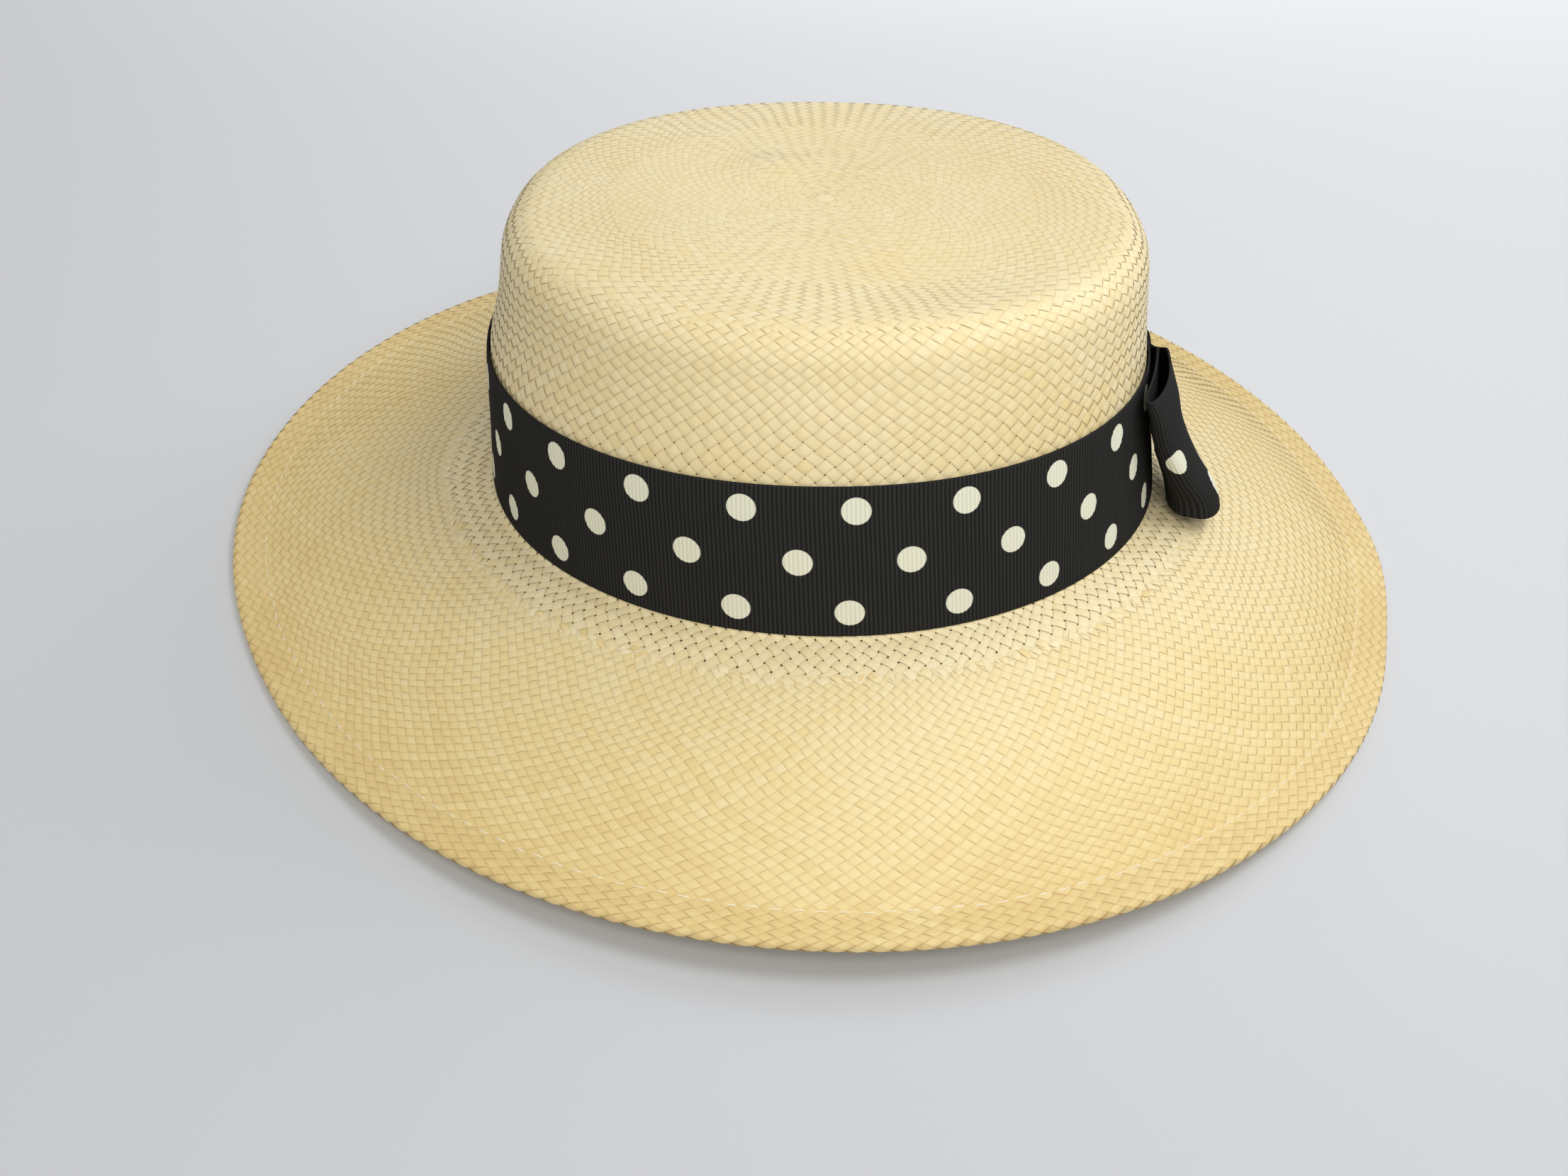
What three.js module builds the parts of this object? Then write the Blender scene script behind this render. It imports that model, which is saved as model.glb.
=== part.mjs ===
// Woven straw hat with a flat-topped crown, a wide drooping brim and a dotted ribbon with a bow.
// Millimetres, +Z up, standing brim down on z = 0. +Y is the wearer's front, +X the wearer's right.
import * as THREE from 'three';

// Driving dimensions: the woven body
const strawWall = 1.5;            // thickness of the woven straw
const crownHalfWidth = 88.8;      // outside, at the foot of the crown
const crownHalfLength = 98.5;
const crownHeight = 71;           // foot of the crown to the middle of its flat top
const sideTaper = 7.3;            // how far each side of the crown leans in by the shoulder
const endTaper = 4;               // how far the front and the back lean in by the shoulder
const topShiftLeft = 2;           // how far the crown leans over to the wearer's left
const topShiftForward = 2;
const topRiseForward = 1.4;       // degrees that the flat top rises toward the front
const shoulderRadius = 9;         // soft edge between the side and the top
const topSink = 1.8;              // how far the middle of the top lies below its rim
const topMark = 2.6;              // height of the raised and sunk marks on the top
const outlineSquareness = 2.2;    // power of the top's outline, 2 is a plain ellipse

// Driving dimensions: the brim
const brimHalfWidth = 158.8;
const brimHalfLength = 170;
const brimRipple = 2;             // how far the outline swings in and out
const brimWave = 7.8;             // how high the edge rises between the places that it rests on
const brimBulge = 4;              // how far the brim is crowned between the crown and its edge
const hemWidth = 8;               // straw folded under along the edge
const hemThickness = 2.6;         // two layers pressed together
const hemSlope = 0.05;            // slope of the hem, which lies almost level, as a share of the brim's

// Driving dimensions: how the crown stands over the brim's edge
const crownFoot = new THREE.Vector3(-0.4, -1.5, 22.3);
const crownLeanForward = 5.5;     // degrees
const crownLeanLeft = 3.2;

// Driving dimensions: the ribbon and its bow
const ribbonWidth = 38;
const ribbonThickness = 1;
const clearance = 0.3;            // between pieces that lie on each other
const bandLift = 0.6;             // lower edge of the ribbon above the foot of the crown
const bowAzimuth = 11;            // degrees round the crown, 0 is the wearer's right
const loopLength = 74;            // knot to the tip of a loop, along the band
const loopDepth = 17;             // how far a loop stands off the band at its lower edge
const frontLoopFullness = 0.55;   // depth of the front loop against the back one
const loopPinch = 2.6;            // depth of a loop where the knot holds it
const knotLength = 13;            // along the band
const knotHeight = 20;
const knotDepth = 5.4;

// How finely the round forms are cut
const around = 72;
const loopSteps = 22;

// Waves of the brim, one row for each high or low place of its edge.
// azimuth in degrees, lift as a share of brimWave, bulge of brimBulge
const brimRows = [
  { azimuth: 50, lift: 0.4, bulge: 0.7 },
  { azimuth: 100, lift: 0.0, bulge: 0.5 },
  { azimuth: 150, lift: 0.22, bulge: 0.0 },
  { azimuth: 205, lift: 0.0, bulge: -0.3 },
  { azimuth: 275, lift: 1.0, bulge: 0.9 },
  { azimuth: 345, lift: 0.0, bulge: 0.9 },
];

// Outline of the brim seen from above, against a plain ellipse. reach as a share of brimRipple
const outlineRows = [
  { azimuth: 0, reach: 0.5 },
  { azimuth: 20, reach: 1.0 },
  { azimuth: 90, reach: 0.0 },
  { azimuth: 180, reach: 0.5 },
  { azimuth: 215, reach: -1.1 },
  { azimuth: 265, reach: 0.0 },
  { azimuth: 315, reach: -1.3 },
  { azimuth: 340, reach: -1.1 },
];

// Side of the crown, foot to shoulder. rise as a share of the side's height,
// in from the side of sideTaper, in from the ends of endTaper, shift of topShiftLeft
const sideRows = [
  { rise: 0.0, inSide: 0.0, inEnds: 0.0, shift: 0.0 },
  { rise: 0.32, inSide: 0.285, inEnds: -0.1, shift: 0.5 },
  { rise: 0.64, inSide: 0.55, inEnds: 0.0, shift: 0.9 },
  { rise: 0.85, inSide: 0.865, inEnds: 0.45, shift: 0.45 },
  { rise: 1.0, inSide: 1.0, inEnds: 1.0, shift: 0.25 },
];

// Marks on the flat top: across and along as shares of its half width and half length,
// size as a share of its half width, height as a share of topMark
const topMarks = [
  { name: 'small bump', across: -0.16, along: 0.32, size: 0.13, height: 0.6 },
  { name: 'hollow by the right back', across: 0.38, along: -0.72, size: 0.3, height: -0.9 },
  { name: 'swelling at the left back', across: -0.45, along: -0.5, size: 0.42, height: 0.6 },
  { name: 'dip before the bump', across: 0.1, along: 0.62, size: 0.34, height: -0.5 },
];

// Loop of the bow, lower edge to upper edge. up as a share of ribbonWidth, depth of loopDepth,
// off for how far the middle of its tip stands off the band, of loopDepth, reach of loopLength
const loopRows = [
  { up: 0.0, depth: 1.06, off: 0.6, reach: 0.77 },
  { up: 0.12, depth: 1.0, off: 0.59, reach: 0.79 },
  { up: 0.35, depth: 0.76, off: 0.44, reach: 0.86 },
  { up: 0.7, depth: 0.5, off: 0.27, reach: 0.95 },
  { up: 0.88, depth: 0.44, off: 0.235, reach: 0.98 },
  { up: 1.0, depth: 0.31, off: 0.165, reach: 1.0 },
];
const loopDrop = 0.4;             // how much lower the outer layer of a loop hangs than the inner one
const loopStart = 0.15;           // where a loop begins inside the knot, of knotLength
const loopHold = 0.85;            // share of the knot's inner height that a loop fills
const loopSquareness = 0.6;       // below 1 the drop of a loop has flatter sides than an ellipse
const knotSquareness = 4;         // power of the knot's section

// Where along a loop it opens up, swings off the band and reaches its full height: the first two
// as shares of its length, the last as shares of knotLength
const loopOpens = [0.35, 0.95];
const loopSwings = [0.45, 1];
const loopSpreads = [0.4, 3.4];

const radians = (degrees) => degrees * Math.PI / 180;
const mix = (from, to, share) => from + (to - from) * share;

// Level at both ends and smooth between them
function smooth(from, to, value) {
  const share = Math.min(Math.max((value - from) / (to - from), 0), 1);
  return share * share * (3 - 2 * share);
}

// Value of one column of a table at an azimuth, level at each row and smooth between them.
function wave(rows, column, azimuth) {
  const turn = ((azimuth % 360) + 360) % 360;
  let before = rows.length - 1;
  for (let i = 0; i < rows.length; i += 1) {
    if (rows[i].azimuth <= turn) {
      before = i;
    }
  }
  const low = rows[before];
  const high = rows[(before + 1) % rows.length];
  const span = (high.azimuth - low.azimuth + 360) % 360;
  const share = ((turn - low.azimuth + 360) % 360) / span;
  return mix(low[column], high[column], (1 - Math.cos(Math.PI * share)) / 2);
}

// Value of one column of a table along another, straight between rows.
function along(rows, key, column, value) {
  let i = 0;
  while (i < rows.length - 2 && value > rows[i + 1][key]) {
    i += 1;
  }
  const share = (value - rows[i][key]) / (rows[i + 1][key] - rows[i][key]);
  return mix(rows[i][column], rows[i + 1][column], share);
}

// Point of a rounded outline with the given half sizes.
function outline(halfWidth, halfLength, azimuth, power) {
  const c = Math.cos(radians(azimuth));
  const s = Math.sin(radians(azimuth));
  const reach = (Math.abs(c) ** power + Math.abs(s) ** power) ** (-1 / power);
  return [halfWidth * reach * c, halfLength * reach * s];
}

// Closed solid from rings of points. Open ends close on a pole, otherwise the last ring joins the first.
function ringSolid(rings, poles) {
  const count = rings[0].length;
  const positions = rings.flat().flatMap((p) => [p.x, p.y, p.z]);
  const faces = [];
  const join = (a, b) => {
    for (let i = 0; i < count; i += 1) {
      const j = (i + 1) % count;
      faces.push(a * count + i, a * count + j, b * count + j);
      faces.push(a * count + i, b * count + j, b * count + i);
    }
  };
  for (let r = 0; r + 1 < rings.length; r += 1) {
    join(r, r + 1);
  }
  if (poles) {
    const first = rings.length * count;
    poles.forEach((p) => positions.push(p.x, p.y, p.z));
    for (let i = 0; i < count; i += 1) {
      const j = (i + 1) % count;
      const last = (rings.length - 1) * count;
      faces.push(first, j, i);
      faces.push(first + 1, last + i, last + j);
    }
  } else {
    join(rings.length - 1, 0);
  }
  const geometry = new THREE.BufferGeometry();
  geometry.setAttribute('position', new THREE.Float32BufferAttribute(positions, 3));
  geometry.setIndex(signedVolume(positions, faces) < 0 ? faces.toReversed() : faces);
  geometry.computeVertexNormals();
  return geometry;
}

function signedVolume(positions, faces) {
  const corner = (i) => new THREE.Vector3(...positions.slice(3 * i, 3 * i + 3));
  let volume = 0;
  for (let f = 0; f < faces.length; f += 3) {
    const [a, b, c] = [corner(faces[f]), corner(faces[f + 1]), corner(faces[f + 2])];
    volume += a.dot(b.cross(c)) / 6;
  }
  return volume;
}

const azimuths = Array.from({ length: around }, (_, i) => 360 * i / around);

// The crown, in its own frame: origin at the middle of its foot, +Z along its axis.
const sideHeight = crownHeight - shoulderRadius;

// Half sizes and shift of the crown's side at a height, drawn in by the depth of an inner layer.
function sideSection(height, inset) {
  const rise = Math.min(Math.max(height / sideHeight, 0), 1);
  const inSide = along(sideRows, 'rise', 'inSide', rise) * sideTaper;
  const inEnds = along(sideRows, 'rise', 'inEnds', rise) * endTaper;
  const shift = along(sideRows, 'rise', 'shift', rise);
  return {
    halfWidth: crownHalfWidth - inSide - inset,
    halfLength: crownHalfLength - inEnds - inset,
    left: shift * topShiftLeft,
    forward: rise * topShiftForward,
    power: mix(2, outlineSquareness, rise),
  };
}

function sidePoint(height, azimuth, inset) {
  const section = sideSection(height, inset);
  const [x, y] = outline(section.halfWidth, section.halfLength, azimuth, section.power);
  const tilt = Math.tan(radians(topRiseForward)) * y * Math.min(Math.max(height / sideHeight, 0), 1);
  return new THREE.Vector3(x - section.left, y + section.forward, height + tilt);
}

const topSection = sideSection(sideHeight, 0);
const flatHalfWidth = topSection.halfWidth - shoulderRadius;
const flatHalfLength = topSection.halfLength - shoulderRadius;

function shoulderPoint(angle, azimuth, inset) {
  const radius = shoulderRadius - inset;
  const bend = radius * Math.cos(radians(angle));
  const [x, y] = outline(flatHalfWidth + bend, flatHalfLength + bend, azimuth, topSection.power);
  const height = sideHeight + radius * Math.sin(radians(angle)) + Math.tan(radians(topRiseForward)) * y;
  return new THREE.Vector3(x - topSection.left, y + topSection.forward, height);
}

function markHeight(x, y) {
  return topMarks.reduce((sum, mark) => {
    const size = mark.size * flatHalfWidth;
    const dx = (x - mark.across * flatHalfWidth) / size;
    const dy = (y - mark.along * flatHalfLength) / size;
    return sum + mark.height * topMark * Math.exp(-(dx * dx + dy * dy));
  }, 0);
}

function topPoint(share, azimuth, inset) {
  const [x, y] = outline(flatHalfWidth * share, flatHalfLength * share, azimuth, topSection.power);
  const sink = topSink * (1 - share * share) ** 2;
  const calm = 1 - share ** 6;
  const height = crownHeight - inset - sink + calm * markHeight(x, y) + Math.tan(radians(topRiseForward)) * y;
  return new THREE.Vector3(x - topSection.left, y + topSection.forward, height);
}

// Pose of the crown over the floor
const crownPose = new THREE.Matrix4().makeRotationFromEuler(
  new THREE.Euler(radians(-crownLeanForward), radians(-crownLeanLeft), 0),
).setPosition(crownFoot);
const placed = (point) => point.applyMatrix4(crownPose);

// The brim, from the foot of the crown to the folded edge
function edgePoint(azimuth, inward, height) {
  const reach = wave(outlineRows, 'reach', azimuth) * brimRipple - inward;
  const [x, y] = outline(brimHalfWidth + reach, brimHalfLength + reach, azimuth, 2);
  return new THREE.Vector3(x, y, wave(brimRows, 'lift', azimuth) * brimWave + height);
}

const edgeRound = hemThickness / 2;

// Point of the brim's upper face on the way to the hem: share 0 at the crown's foot, 1 at the fold line
function beforeHem(share, azimuth) {
  const foot = placed(sidePoint(0, azimuth, 0));
  const edge = edgePoint(azimuth, edgeRound / 2, hemThickness);
  const hemStart = 1 - hemWidth / Math.hypot(edge.x - foot.x, edge.y - foot.y);
  const bulge = wave(brimRows, 'bulge', azimuth) * brimBulge * 4 * share * (1 - share);
  const bend = (foot.z - edge.z) * (1 - hemStart) * (1 - hemSlope) * share ** 2;
  return foot.lerp(edge, share * hemStart).add(new THREE.Vector3(0, 0, bulge - bend));
}

const lowered = (point, depth) => point.add(new THREE.Vector3(0, 0, -depth));
const ring = (pointAt) => azimuths.map(pointAt);

// Shares of the way that the rings of each stretch lie at
const topShares = [0.16, 0.32, 0.48, 0.64, 0.8, 0.92];
const shoulderAngles = [90, 67.5, 45, 22.5, 0];
const sideShares = [0.85, 0.64, 0.32, 0];
const brimShares = [0.12, 0.3, 0.5, 0.7, 0.86];

// One layer of the crown, top to foot
function crownRings(inset, foot) {
  return [
    ...topShares.map((share) => ring((a) => placed(topPoint(share, a, inset)))),
    ...shoulderAngles.map((angle) => ring((a) => placed(shoulderPoint(angle, a, inset)))),
    ...sideShares.map((share) => ring((a) => placed(sidePoint(share > 0 ? share * sideHeight : foot, a, inset)))),
  ];
}

const outerRings = [
  ...crownRings(0, 0),
  ...brimShares.map((share) => ring((a) => beforeHem(share, a))),
  ring((a) => beforeHem(1, a)),
  ring((a) => edgePoint(a, edgeRound / 2, hemThickness)),
];
const innerRings = [
  ring((a) => edgePoint(a, 0, hemThickness / 2)),
  ring((a) => edgePoint(a, edgeRound / 2, 0)),
  ring((a) => lowered(beforeHem(1, a), hemThickness)),
  ring((a) => lowered(beforeHem(1, a), strawWall)),
  ...brimShares.toReversed().map((share) => ring((a) => lowered(beforeHem(share, a), strawWall))),
  ...crownRings(strawWall, -strawWall).toReversed(),
];

function crownAndBrim() {
  const poles = [placed(topPoint(0, 0, 0)), placed(topPoint(0, 0, strawWall))];
  return ringSolid([...outerRings, ...innerRings], poles);
}

// Point off the crown's side, out from it by a depth, in the crown's frame
function offSide(height, azimuth, depth) {
  return sidePoint(height, azimuth, -depth);
}

function hatBand() {
  const inner = clearance;
  const outer = clearance + ribbonThickness;
  const top = bandLift + ribbonWidth;
  const middle = bandLift + ribbonWidth / 2;
  return ringSolid([
    ring((a) => offSide(bandLift, a, outer)),
    ring((a) => offSide(middle, a, outer)),
    ring((a) => offSide(top, a, outer)),
    ring((a) => offSide(top, a, inner)),
    ring((a) => offSide(middle, a, inner)),
    ring((a) => offSide(bandLift, a, inner)),
  ]);
}

// Everything of the bow lies on the band: length along it from the knot, depth out from it.
const bandFace = clearance + ribbonThickness + clearance;

function onBand(length, height, depth) {
  const section = sideSection(height, 0);
  const azimuth = bowAzimuth + length / radians(section.halfLength);
  return offSide(height, azimuth, bandFace + depth);
}

// Outline of a loop seen from above, a flat drop that runs from the knot to its tip: t runs once round it.
// The layer on the band stays flat, the outer one stands off, and the tip swings out from the band.
function dropOutline(t, length, depth, tipOff, inset) {
  const turn = 2 * Math.PI * t;
  const share = (1 - Math.cos(turn)) / 2;
  const opened = smooth(...loopOpens, share);
  const half = mix(loopPinch, depth, opened) / 2;
  const base = Math.max(half, mix(knotDepth / 2, half, opened));
  const middle = Math.max(base, mix(base, tipOff, smooth(...loopSwings, share)));
  const side = Math.sign(-Math.sin(turn)) * Math.abs(Math.sin(turn)) ** loopSquareness;
  return { length: mix(inset, length - inset, share), depth: middle + side * (half - inset) };
}

function bowLoop(direction, fullness) {
  const start = knotLength * loopStart;
  const [spreadFrom, spreadTo] = loopSpreads.map((share) => share * knotLength);
  const middle = bandLift + ribbonWidth / 2;
  const heldHeight = (knotHeight - 2 * (ribbonThickness + clearance)) * loopHold;
  const contour = (row, inset) => Array.from({ length: loopSteps }, (_, i) => {
    const reach = row.reach * loopLength - start;
    const depth = loopDepth * fullness;
    const drop = dropOutline((i + 0.5) / loopSteps, reach, row.depth * depth, row.off * depth, inset);
    const free = smooth(spreadFrom, spreadTo, drop.length);
    const hang = free * loopDrop * drop.depth / loopDepth;
    const height = middle + (row.up - 0.5) * mix(heldHeight, ribbonWidth, free) - hang;
    return onBand(direction * (start + drop.length), height, drop.depth);
  });
  return ringSolid([
    ...loopRows.map((row) => contour(row, 0)),
    ...loopRows.toReversed().map((row) => contour(row, ribbonThickness)),
  ]);
}

// The knot is a short sleeve of ribbon round both pinched loops.
function bowKnot() {
  const middle = bandLift + ribbonWidth / 2;
  const sleeve = (length, inset) => Array.from({ length: loopSteps }, (_, i) => {
    const turn = 360 * i / loopSteps;
    const [out, up] = outline(knotDepth / 2 - inset, knotHeight / 2 - inset, turn, knotSquareness);
    return onBand(length, middle + up, knotDepth / 2 + out);
  });
  const ends = [-knotLength / 2, 0, knotLength / 2];
  return ringSolid([
    ...ends.map((end) => sleeve(end, 0)),
    ...ends.toReversed().map((end) => sleeve(end, ribbonThickness)),
  ]);
}

const straw = new THREE.MeshStandardMaterial({ color: 0xdcc190, roughness: 0.75, metalness: 0 });
const ribbon = new THREE.MeshStandardMaterial({ color: 0x17171c, roughness: 0.6, metalness: 0 });

function piece(name, geometry, material) {
  const mesh = new THREE.Mesh(geometry, material);
  mesh.name = name;
  return mesh;
}

const onCrown = new THREE.Group();
onCrown.applyMatrix4(crownPose);
onCrown.add(piece('hat_band', hatBand(), ribbon));
onCrown.add(piece('bow_back_loop', bowLoop(-1, 1), ribbon));
onCrown.add(piece('bow_front_loop', bowLoop(1, frontLoopFullness), ribbon));
onCrown.add(piece('bow_knot', bowKnot(), ribbon));

const hat = new THREE.Group();
hat.add(piece('crown_and_brim', crownAndBrim(), straw));
hat.add(onCrown);

export default hat;
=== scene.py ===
"""Looks of the straw hat: woven straws, ribbed dotted ribbon, floor, light and camera.

Lengths in the tables are millimetres, in the same frame as the part. Meshes are made in metres.
"""

import bpy
import numpy as np
from mathutils import Matrix


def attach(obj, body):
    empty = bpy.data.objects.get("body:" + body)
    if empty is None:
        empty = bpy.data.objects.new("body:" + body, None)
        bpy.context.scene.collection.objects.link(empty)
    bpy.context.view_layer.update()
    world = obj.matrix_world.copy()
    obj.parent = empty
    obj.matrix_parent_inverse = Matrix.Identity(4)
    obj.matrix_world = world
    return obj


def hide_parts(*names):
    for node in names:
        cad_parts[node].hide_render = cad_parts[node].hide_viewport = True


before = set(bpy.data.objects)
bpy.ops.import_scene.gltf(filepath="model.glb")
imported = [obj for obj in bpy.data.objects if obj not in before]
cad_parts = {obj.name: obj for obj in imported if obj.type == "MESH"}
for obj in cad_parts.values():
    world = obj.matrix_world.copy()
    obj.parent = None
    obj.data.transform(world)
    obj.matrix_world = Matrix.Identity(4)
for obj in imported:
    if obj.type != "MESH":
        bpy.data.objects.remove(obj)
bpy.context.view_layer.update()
MM = 0.001
rng = np.random.default_rng(7)

# Sizes that the part's source names too
CROWN_HALF_WIDTH = 88.8
CROWN_HALF_LENGTH = 98.5
CROWN_HEIGHT = 71.0
SIDE_TAPER = 7.3
END_TAPER = 4.0
TOP_SHIFT_LEFT = 2.0
TOP_SHIFT_FORWARD = 2.0
TOP_RISE_FORWARD = 1.4
SHOULDER_RADIUS = 9.0
TOP_SINK = 1.8
TOP_MARK = 2.6
OUTLINE_SQUARENESS = 2.2
BRIM_HALF_WIDTH = 158.8
BRIM_HALF_LENGTH = 170.0
BRIM_RIPPLE = 2.0
BRIM_WAVE = 7.8
BRIM_BULGE = 4.0
HEM_WIDTH = 8.0
HEM_THICKNESS = 2.6
HEM_SLOPE = 0.05
CROWN_FOOT = np.array([-0.4, -1.5, 22.3])
CROWN_LEAN_FORWARD = 5.5
CROWN_LEAN_LEFT = 3.2
RIBBON_WIDTH = 38.0
RIBBON_THICKNESS = 1.0
CLEARANCE = 0.3
BAND_LIFT = 0.6
BOW_AZIMUTH = 11.0
LOOP_LENGTH = 74.0
LOOP_DEPTH = 17.0
FRONT_LOOP_FULLNESS = 0.55
LOOP_PINCH = 2.6
KNOT_LENGTH = 13.0
KNOT_HEIGHT = 20.0
KNOT_DEPTH = 5.4
LOOP_DROP = 0.4
LOOP_START = 0.15
LOOP_HOLD = 0.85
LOOP_SQUARENESS = 0.6
KNOT_SQUARENESS = 4.0
LOOP_OPENS = (0.35, 0.95)
LOOP_SWINGS = (0.45, 1.0)
LOOP_SPREADS = (0.4, 3.4)

BRIM_ROWS = {
    "azimuth": [50, 100, 150, 205, 275, 345],
    "lift": [0.4, 0.0, 0.22, 0.0, 1.0, 0.0],
    "bulge": [0.7, 0.5, 0.0, -0.3, 0.9, 0.9],
}
OUTLINE_ROWS = {
    "azimuth": [0, 20, 90, 180, 215, 265, 315, 340],
    "reach": [0.5, 1.0, 0.0, 0.5, -1.1, 0.0, -1.3, -1.1],
}
SIDE_ROWS = {
    "rise": [0.0, 0.32, 0.64, 0.85, 1.0],
    "in_side": [0.0, 0.285, 0.55, 0.865, 1.0],
    "in_ends": [0.0, -0.1, 0.0, 0.45, 1.0],
    "shift": [0.0, 0.5, 0.9, 0.45, 0.25],
}
TOP_MARKS = [
    {"across": -0.16, "along": 0.32, "size": 0.13, "height": 0.6},
    {"across": 0.38, "along": -0.72, "size": 0.3, "height": -0.9},
    {"across": -0.45, "along": -0.5, "size": 0.42, "height": 0.6},
    {"across": 0.1, "along": 0.62, "size": 0.34, "height": -0.5},
]
LOOP_ROWS = {
    "up": [0.0, 0.12, 0.35, 0.7, 0.88, 1.0],
    "depth": [1.06, 1.0, 0.76, 0.5, 0.44, 0.31],
    "off": [0.6, 0.59, 0.44, 0.27, 0.235, 0.165],
    "reach": [0.77, 0.79, 0.86, 0.95, 0.98, 1.0],
}

# What only the looks have
DRIFT = 1.1  # how far the weave wanders from its even rows
LOOK_RIBBON = 0.5  # thickness of the real ribbon
RIB_PITCH = 1.0
RIB_HEIGHT = 0.06
STITCH_LENGTH = 3.4
STITCH_STEP = 4.8
DOT_PERIOD = 25.0
DOT_RADIUS = 3.3
DOT_BLUR = 0.12  # half the width of a dot's soft edge
DOT_ROWS = [(32.2, 6.9), (19.3, 18.7), (6.3, 4.6)]  # place across the ribbon, first dot along it
DOT_PERIODS_BEFORE = 40.5  # whole ones keep the place above zero, the half one centres the dot

# Colours, each with its place on a ramp where it has one
STRAW_COLOURS = [
    (0.0, (0.72, 0.54, 0.235)),
    (0.35, (0.79, 0.635, 0.305)),
    (0.65, (0.81, 0.68, 0.385)),
    (1.0, (0.84, 0.735, 0.475)),
]
# painted shade on a straw's edges, where it dips under its neighbours
STRAW_EDGE_PAINTED_SHADE = (0.72, 0.6, 0.42)
# black and print of the ribbon, each darker in the grooves between the ribs and lighter on their tops:
# painted shade and sheen
RIBBON_BLACKS_AND_RIB_SHADE = [(0.0, (0.014, 0.014, 0.0135)), (1.0, (0.034, 0.034, 0.033))]
RIBBON_WHITES_AND_RIB_SHADE = [(0.0, (0.69, 0.69, 0.555)), (1.0, (0.81, 0.81, 0.67))]
THREAD_COLOUR = (0.86, 0.80, 0.62)
# floor colour with painted light: darker in front of the hat, lighter beyond it
FLOOR_COLOURS_WITH_PAINTED_LIGHT = [(0.0, (0.52, 0.532, 0.552)), (1.0, (0.92, 0.935, 0.965))]
WORLD_COLOUR = (1.0, 1.0, 0.99)

# Surface of the straw: streaks along it, painted shade along its edges, patches over the whole hat
FIBRE_SCALES = (3.2, 0.35, 97.0)  # across the straw, along it, from straw to straw
FIBRE_NOISE = (1.6, 3)  # scale and detail
PATCH_NOISE = (22, 2)
FIBRE_TONE = 0.3
PATCH_TONE = 0.5
# how narrow and how dark the painted shade on a straw's edges is
EDGE_POWER = 5.0
EDGE_PAINTED_SHADE = 0.42
STRAW_CURVE = 0.13  # how much lower a straw's edges are than its middle
STREAK_HEIGHT = 0.04
BUMP_STRENGTH = 0.34


# Shape of the hat, as in the part's source
def smooth(start, end, value):
    share = np.clip((value - start) / (end - start), 0, 1)
    return share * share * (3 - 2 * share)


def mix(a, b, share):
    return a + (b - a) * share


def wave(rows, column, azimuth):
    places = np.array(rows["azimuth"], float)
    values = np.array(rows[column], float)
    turn = np.mod(azimuth, 360)
    before = np.searchsorted(places, turn, side="right") - 1
    after = (before + 1) % len(places)
    span = np.mod(places[after] - places[before], 360)
    share = np.mod(turn - places[before], 360) / span
    return mix(values[before], values[after], (1 - np.cos(np.pi * share)) / 2)


def eased(rows, key, column, value):
    """Column of a table along another, rounded between its rows."""
    places, values = np.array(rows[key]), np.array(rows[column])
    slopes = np.gradient(values, places)
    i = np.clip(np.searchsorted(places, value, side="right") - 1, 0, len(places) - 2)
    span = places[i + 1] - places[i]
    t = (value - places[i]) / span
    low = (1 + 2 * t) * (1 - t) ** 2 * values[i] + t * (1 - t) ** 2 * span * slopes[i]
    high = t * t * (3 - 2 * t) * values[i + 1] + t * t * (t - 1) * span * slopes[i + 1]
    return low + high


def outline(half_width, half_length, azimuth, power):
    c, s = np.cos(np.radians(azimuth)), np.sin(np.radians(azimuth))
    reach = (np.abs(c) ** power + np.abs(s) ** power) ** (-1 / power)
    return half_width * reach * c, half_length * reach * s


SIDE_HEIGHT = CROWN_HEIGHT - SHOULDER_RADIUS
RISE_SLOPE = np.tan(np.radians(TOP_RISE_FORWARD))


def side_section(height, out):
    rise = np.clip(height / SIDE_HEIGHT, 0, 1)
    half_width = CROWN_HALF_WIDTH - eased(SIDE_ROWS, "rise", "in_side", rise) * SIDE_TAPER + out
    half_length = CROWN_HALF_LENGTH - eased(SIDE_ROWS, "rise", "in_ends", rise) * END_TAPER + out
    left = eased(SIDE_ROWS, "rise", "shift", rise) * TOP_SHIFT_LEFT
    return half_width, half_length, left, rise


def side_point(height, azimuth, out):
    half_width, half_length, left, rise = side_section(height, out)
    x, y = outline(half_width, half_length, azimuth, mix(2, OUTLINE_SQUARENESS, rise))
    return np.stack([x - left, y + rise * TOP_SHIFT_FORWARD, height + RISE_SLOPE * y * rise], -1)


TOP_HALF_WIDTH, TOP_HALF_LENGTH, TOP_LEFT, _ = side_section(SIDE_HEIGHT, 0)
FLAT_HALF_WIDTH = TOP_HALF_WIDTH - SHOULDER_RADIUS
FLAT_HALF_LENGTH = TOP_HALF_LENGTH - SHOULDER_RADIUS


def shoulder_point(angle, azimuth):
    bend = SHOULDER_RADIUS * np.cos(np.radians(angle))
    x, y = outline(FLAT_HALF_WIDTH + bend, FLAT_HALF_LENGTH + bend, azimuth, OUTLINE_SQUARENESS)
    z = SIDE_HEIGHT + SHOULDER_RADIUS * np.sin(np.radians(angle)) + RISE_SLOPE * y
    return np.stack([x - TOP_LEFT, y + TOP_SHIFT_FORWARD, z], -1)


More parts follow.
